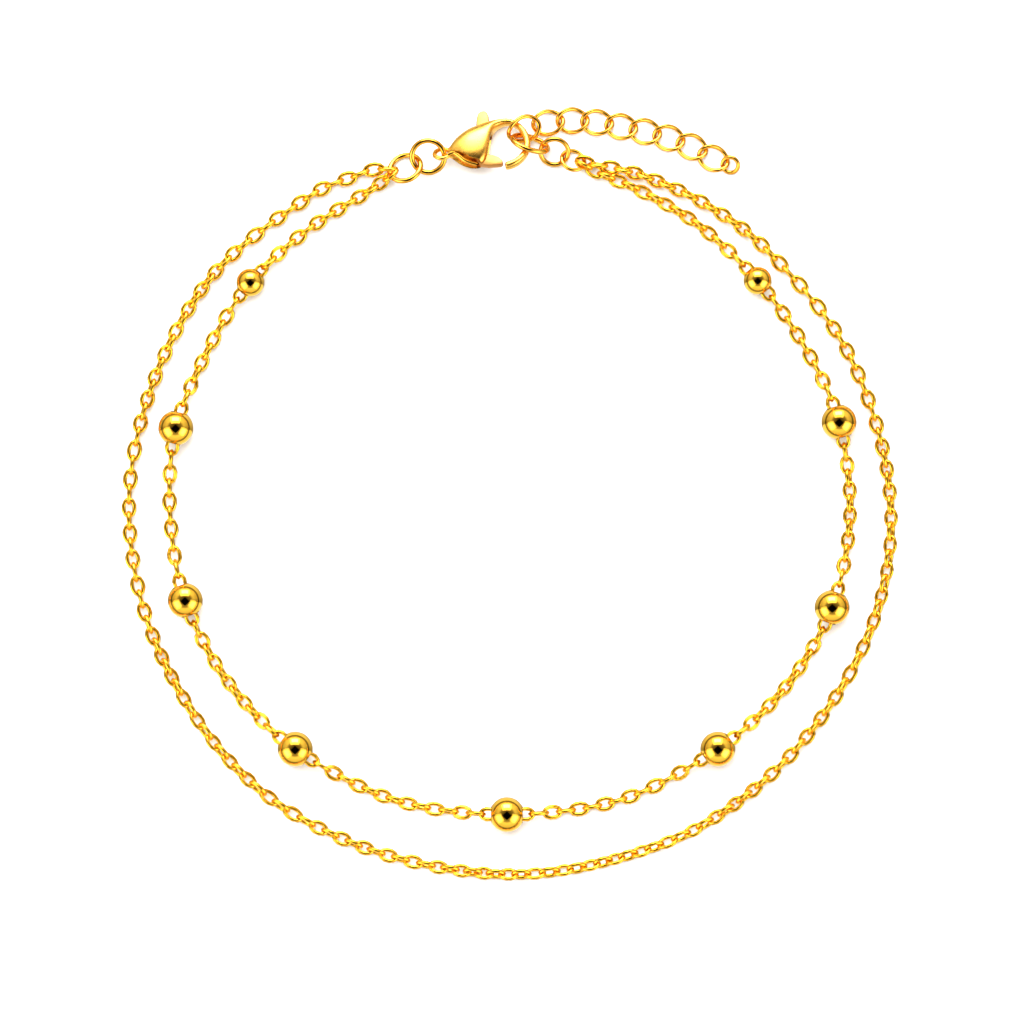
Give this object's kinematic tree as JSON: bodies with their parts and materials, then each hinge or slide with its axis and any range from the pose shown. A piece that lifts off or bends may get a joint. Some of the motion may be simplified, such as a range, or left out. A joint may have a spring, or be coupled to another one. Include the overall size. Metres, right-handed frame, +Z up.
{
  "type": "charm anklet",
  "caption": "Two-strand chain anklet, one strand strung with round beads, closed by a lobster clasp on an extender of oval links; worn round the ankle.",
  "frame": {"origin": "on the surface it lies on, below the middle of its outline", "axes": "+Z up from the surface; +Y towards the clasp; +X towards the extender's side"},
  "size_m": [0.0774, 0.0772, 0.0035],
  "materials": {
    "chain_gold": "bright gold plate",
    "polished_gold": "mirror-polished gold plate"
  },
  "bodies": {
    "anklet": {"clasp_body": "polished_gold", "outer_chain": "chain_gold", "inner_chain_1": "chain_gold", "inner_chain_2": "chain_gold", "inner_chain_3": "chain_gold", "inner_chain_4": "chain_gold", "inner_chain_5": "chain_gold", "inner_chain_6": "chain_gold", "inner_chain_7": "chain_gold", "inner_chain_8": "chain_gold", "inner_chain_9": "chain_gold", "inner_chain_10": "chain_gold", "bead_1": "polished_gold", "bead_2": "polished_gold", "bead_3": "polished_gold", "bead_4": "polished_gold", "bead_5": "polished_gold", "bead_6": "polished_gold", "bead_7": "polished_gold", "bead_8": "polished_gold", "bead_9": "polished_gold", "left_ring_1": "chain_gold", "left_ring_2": "chain_gold", "hook_ring": "chain_gold", "right_ring_1": "chain_gold", "right_ring_2": "chain_gold", "extender_link_1": "chain_gold", "extender_link_2": "chain_gold", "extender_link_3": "chain_gold", "extender_link_4": "chain_gold", "extender_link_5": "chain_gold", "extender_link_6": "chain_gold", "extender_link_7": "chain_gold", "extender_link_8": "chain_gold", "extender_link_9": "chain_gold", "end_ring": "chain_gold"},
    "lever": {"clasp_lever": "polished_gold"}
  },
  "joints": [
    {"name": "clasp_lever_hinge", "type": "hinge", "parent": "anklet", "child": "lever", "pos_m": [-0.00271, 0.0334, 0.00216], "axis": [-0.0637, 0.3542, 0.933], "range_deg": [0, 22], "stiffness_Nm_per_rad": 0.0004, "springref_deg": -17.19}
  ]
}
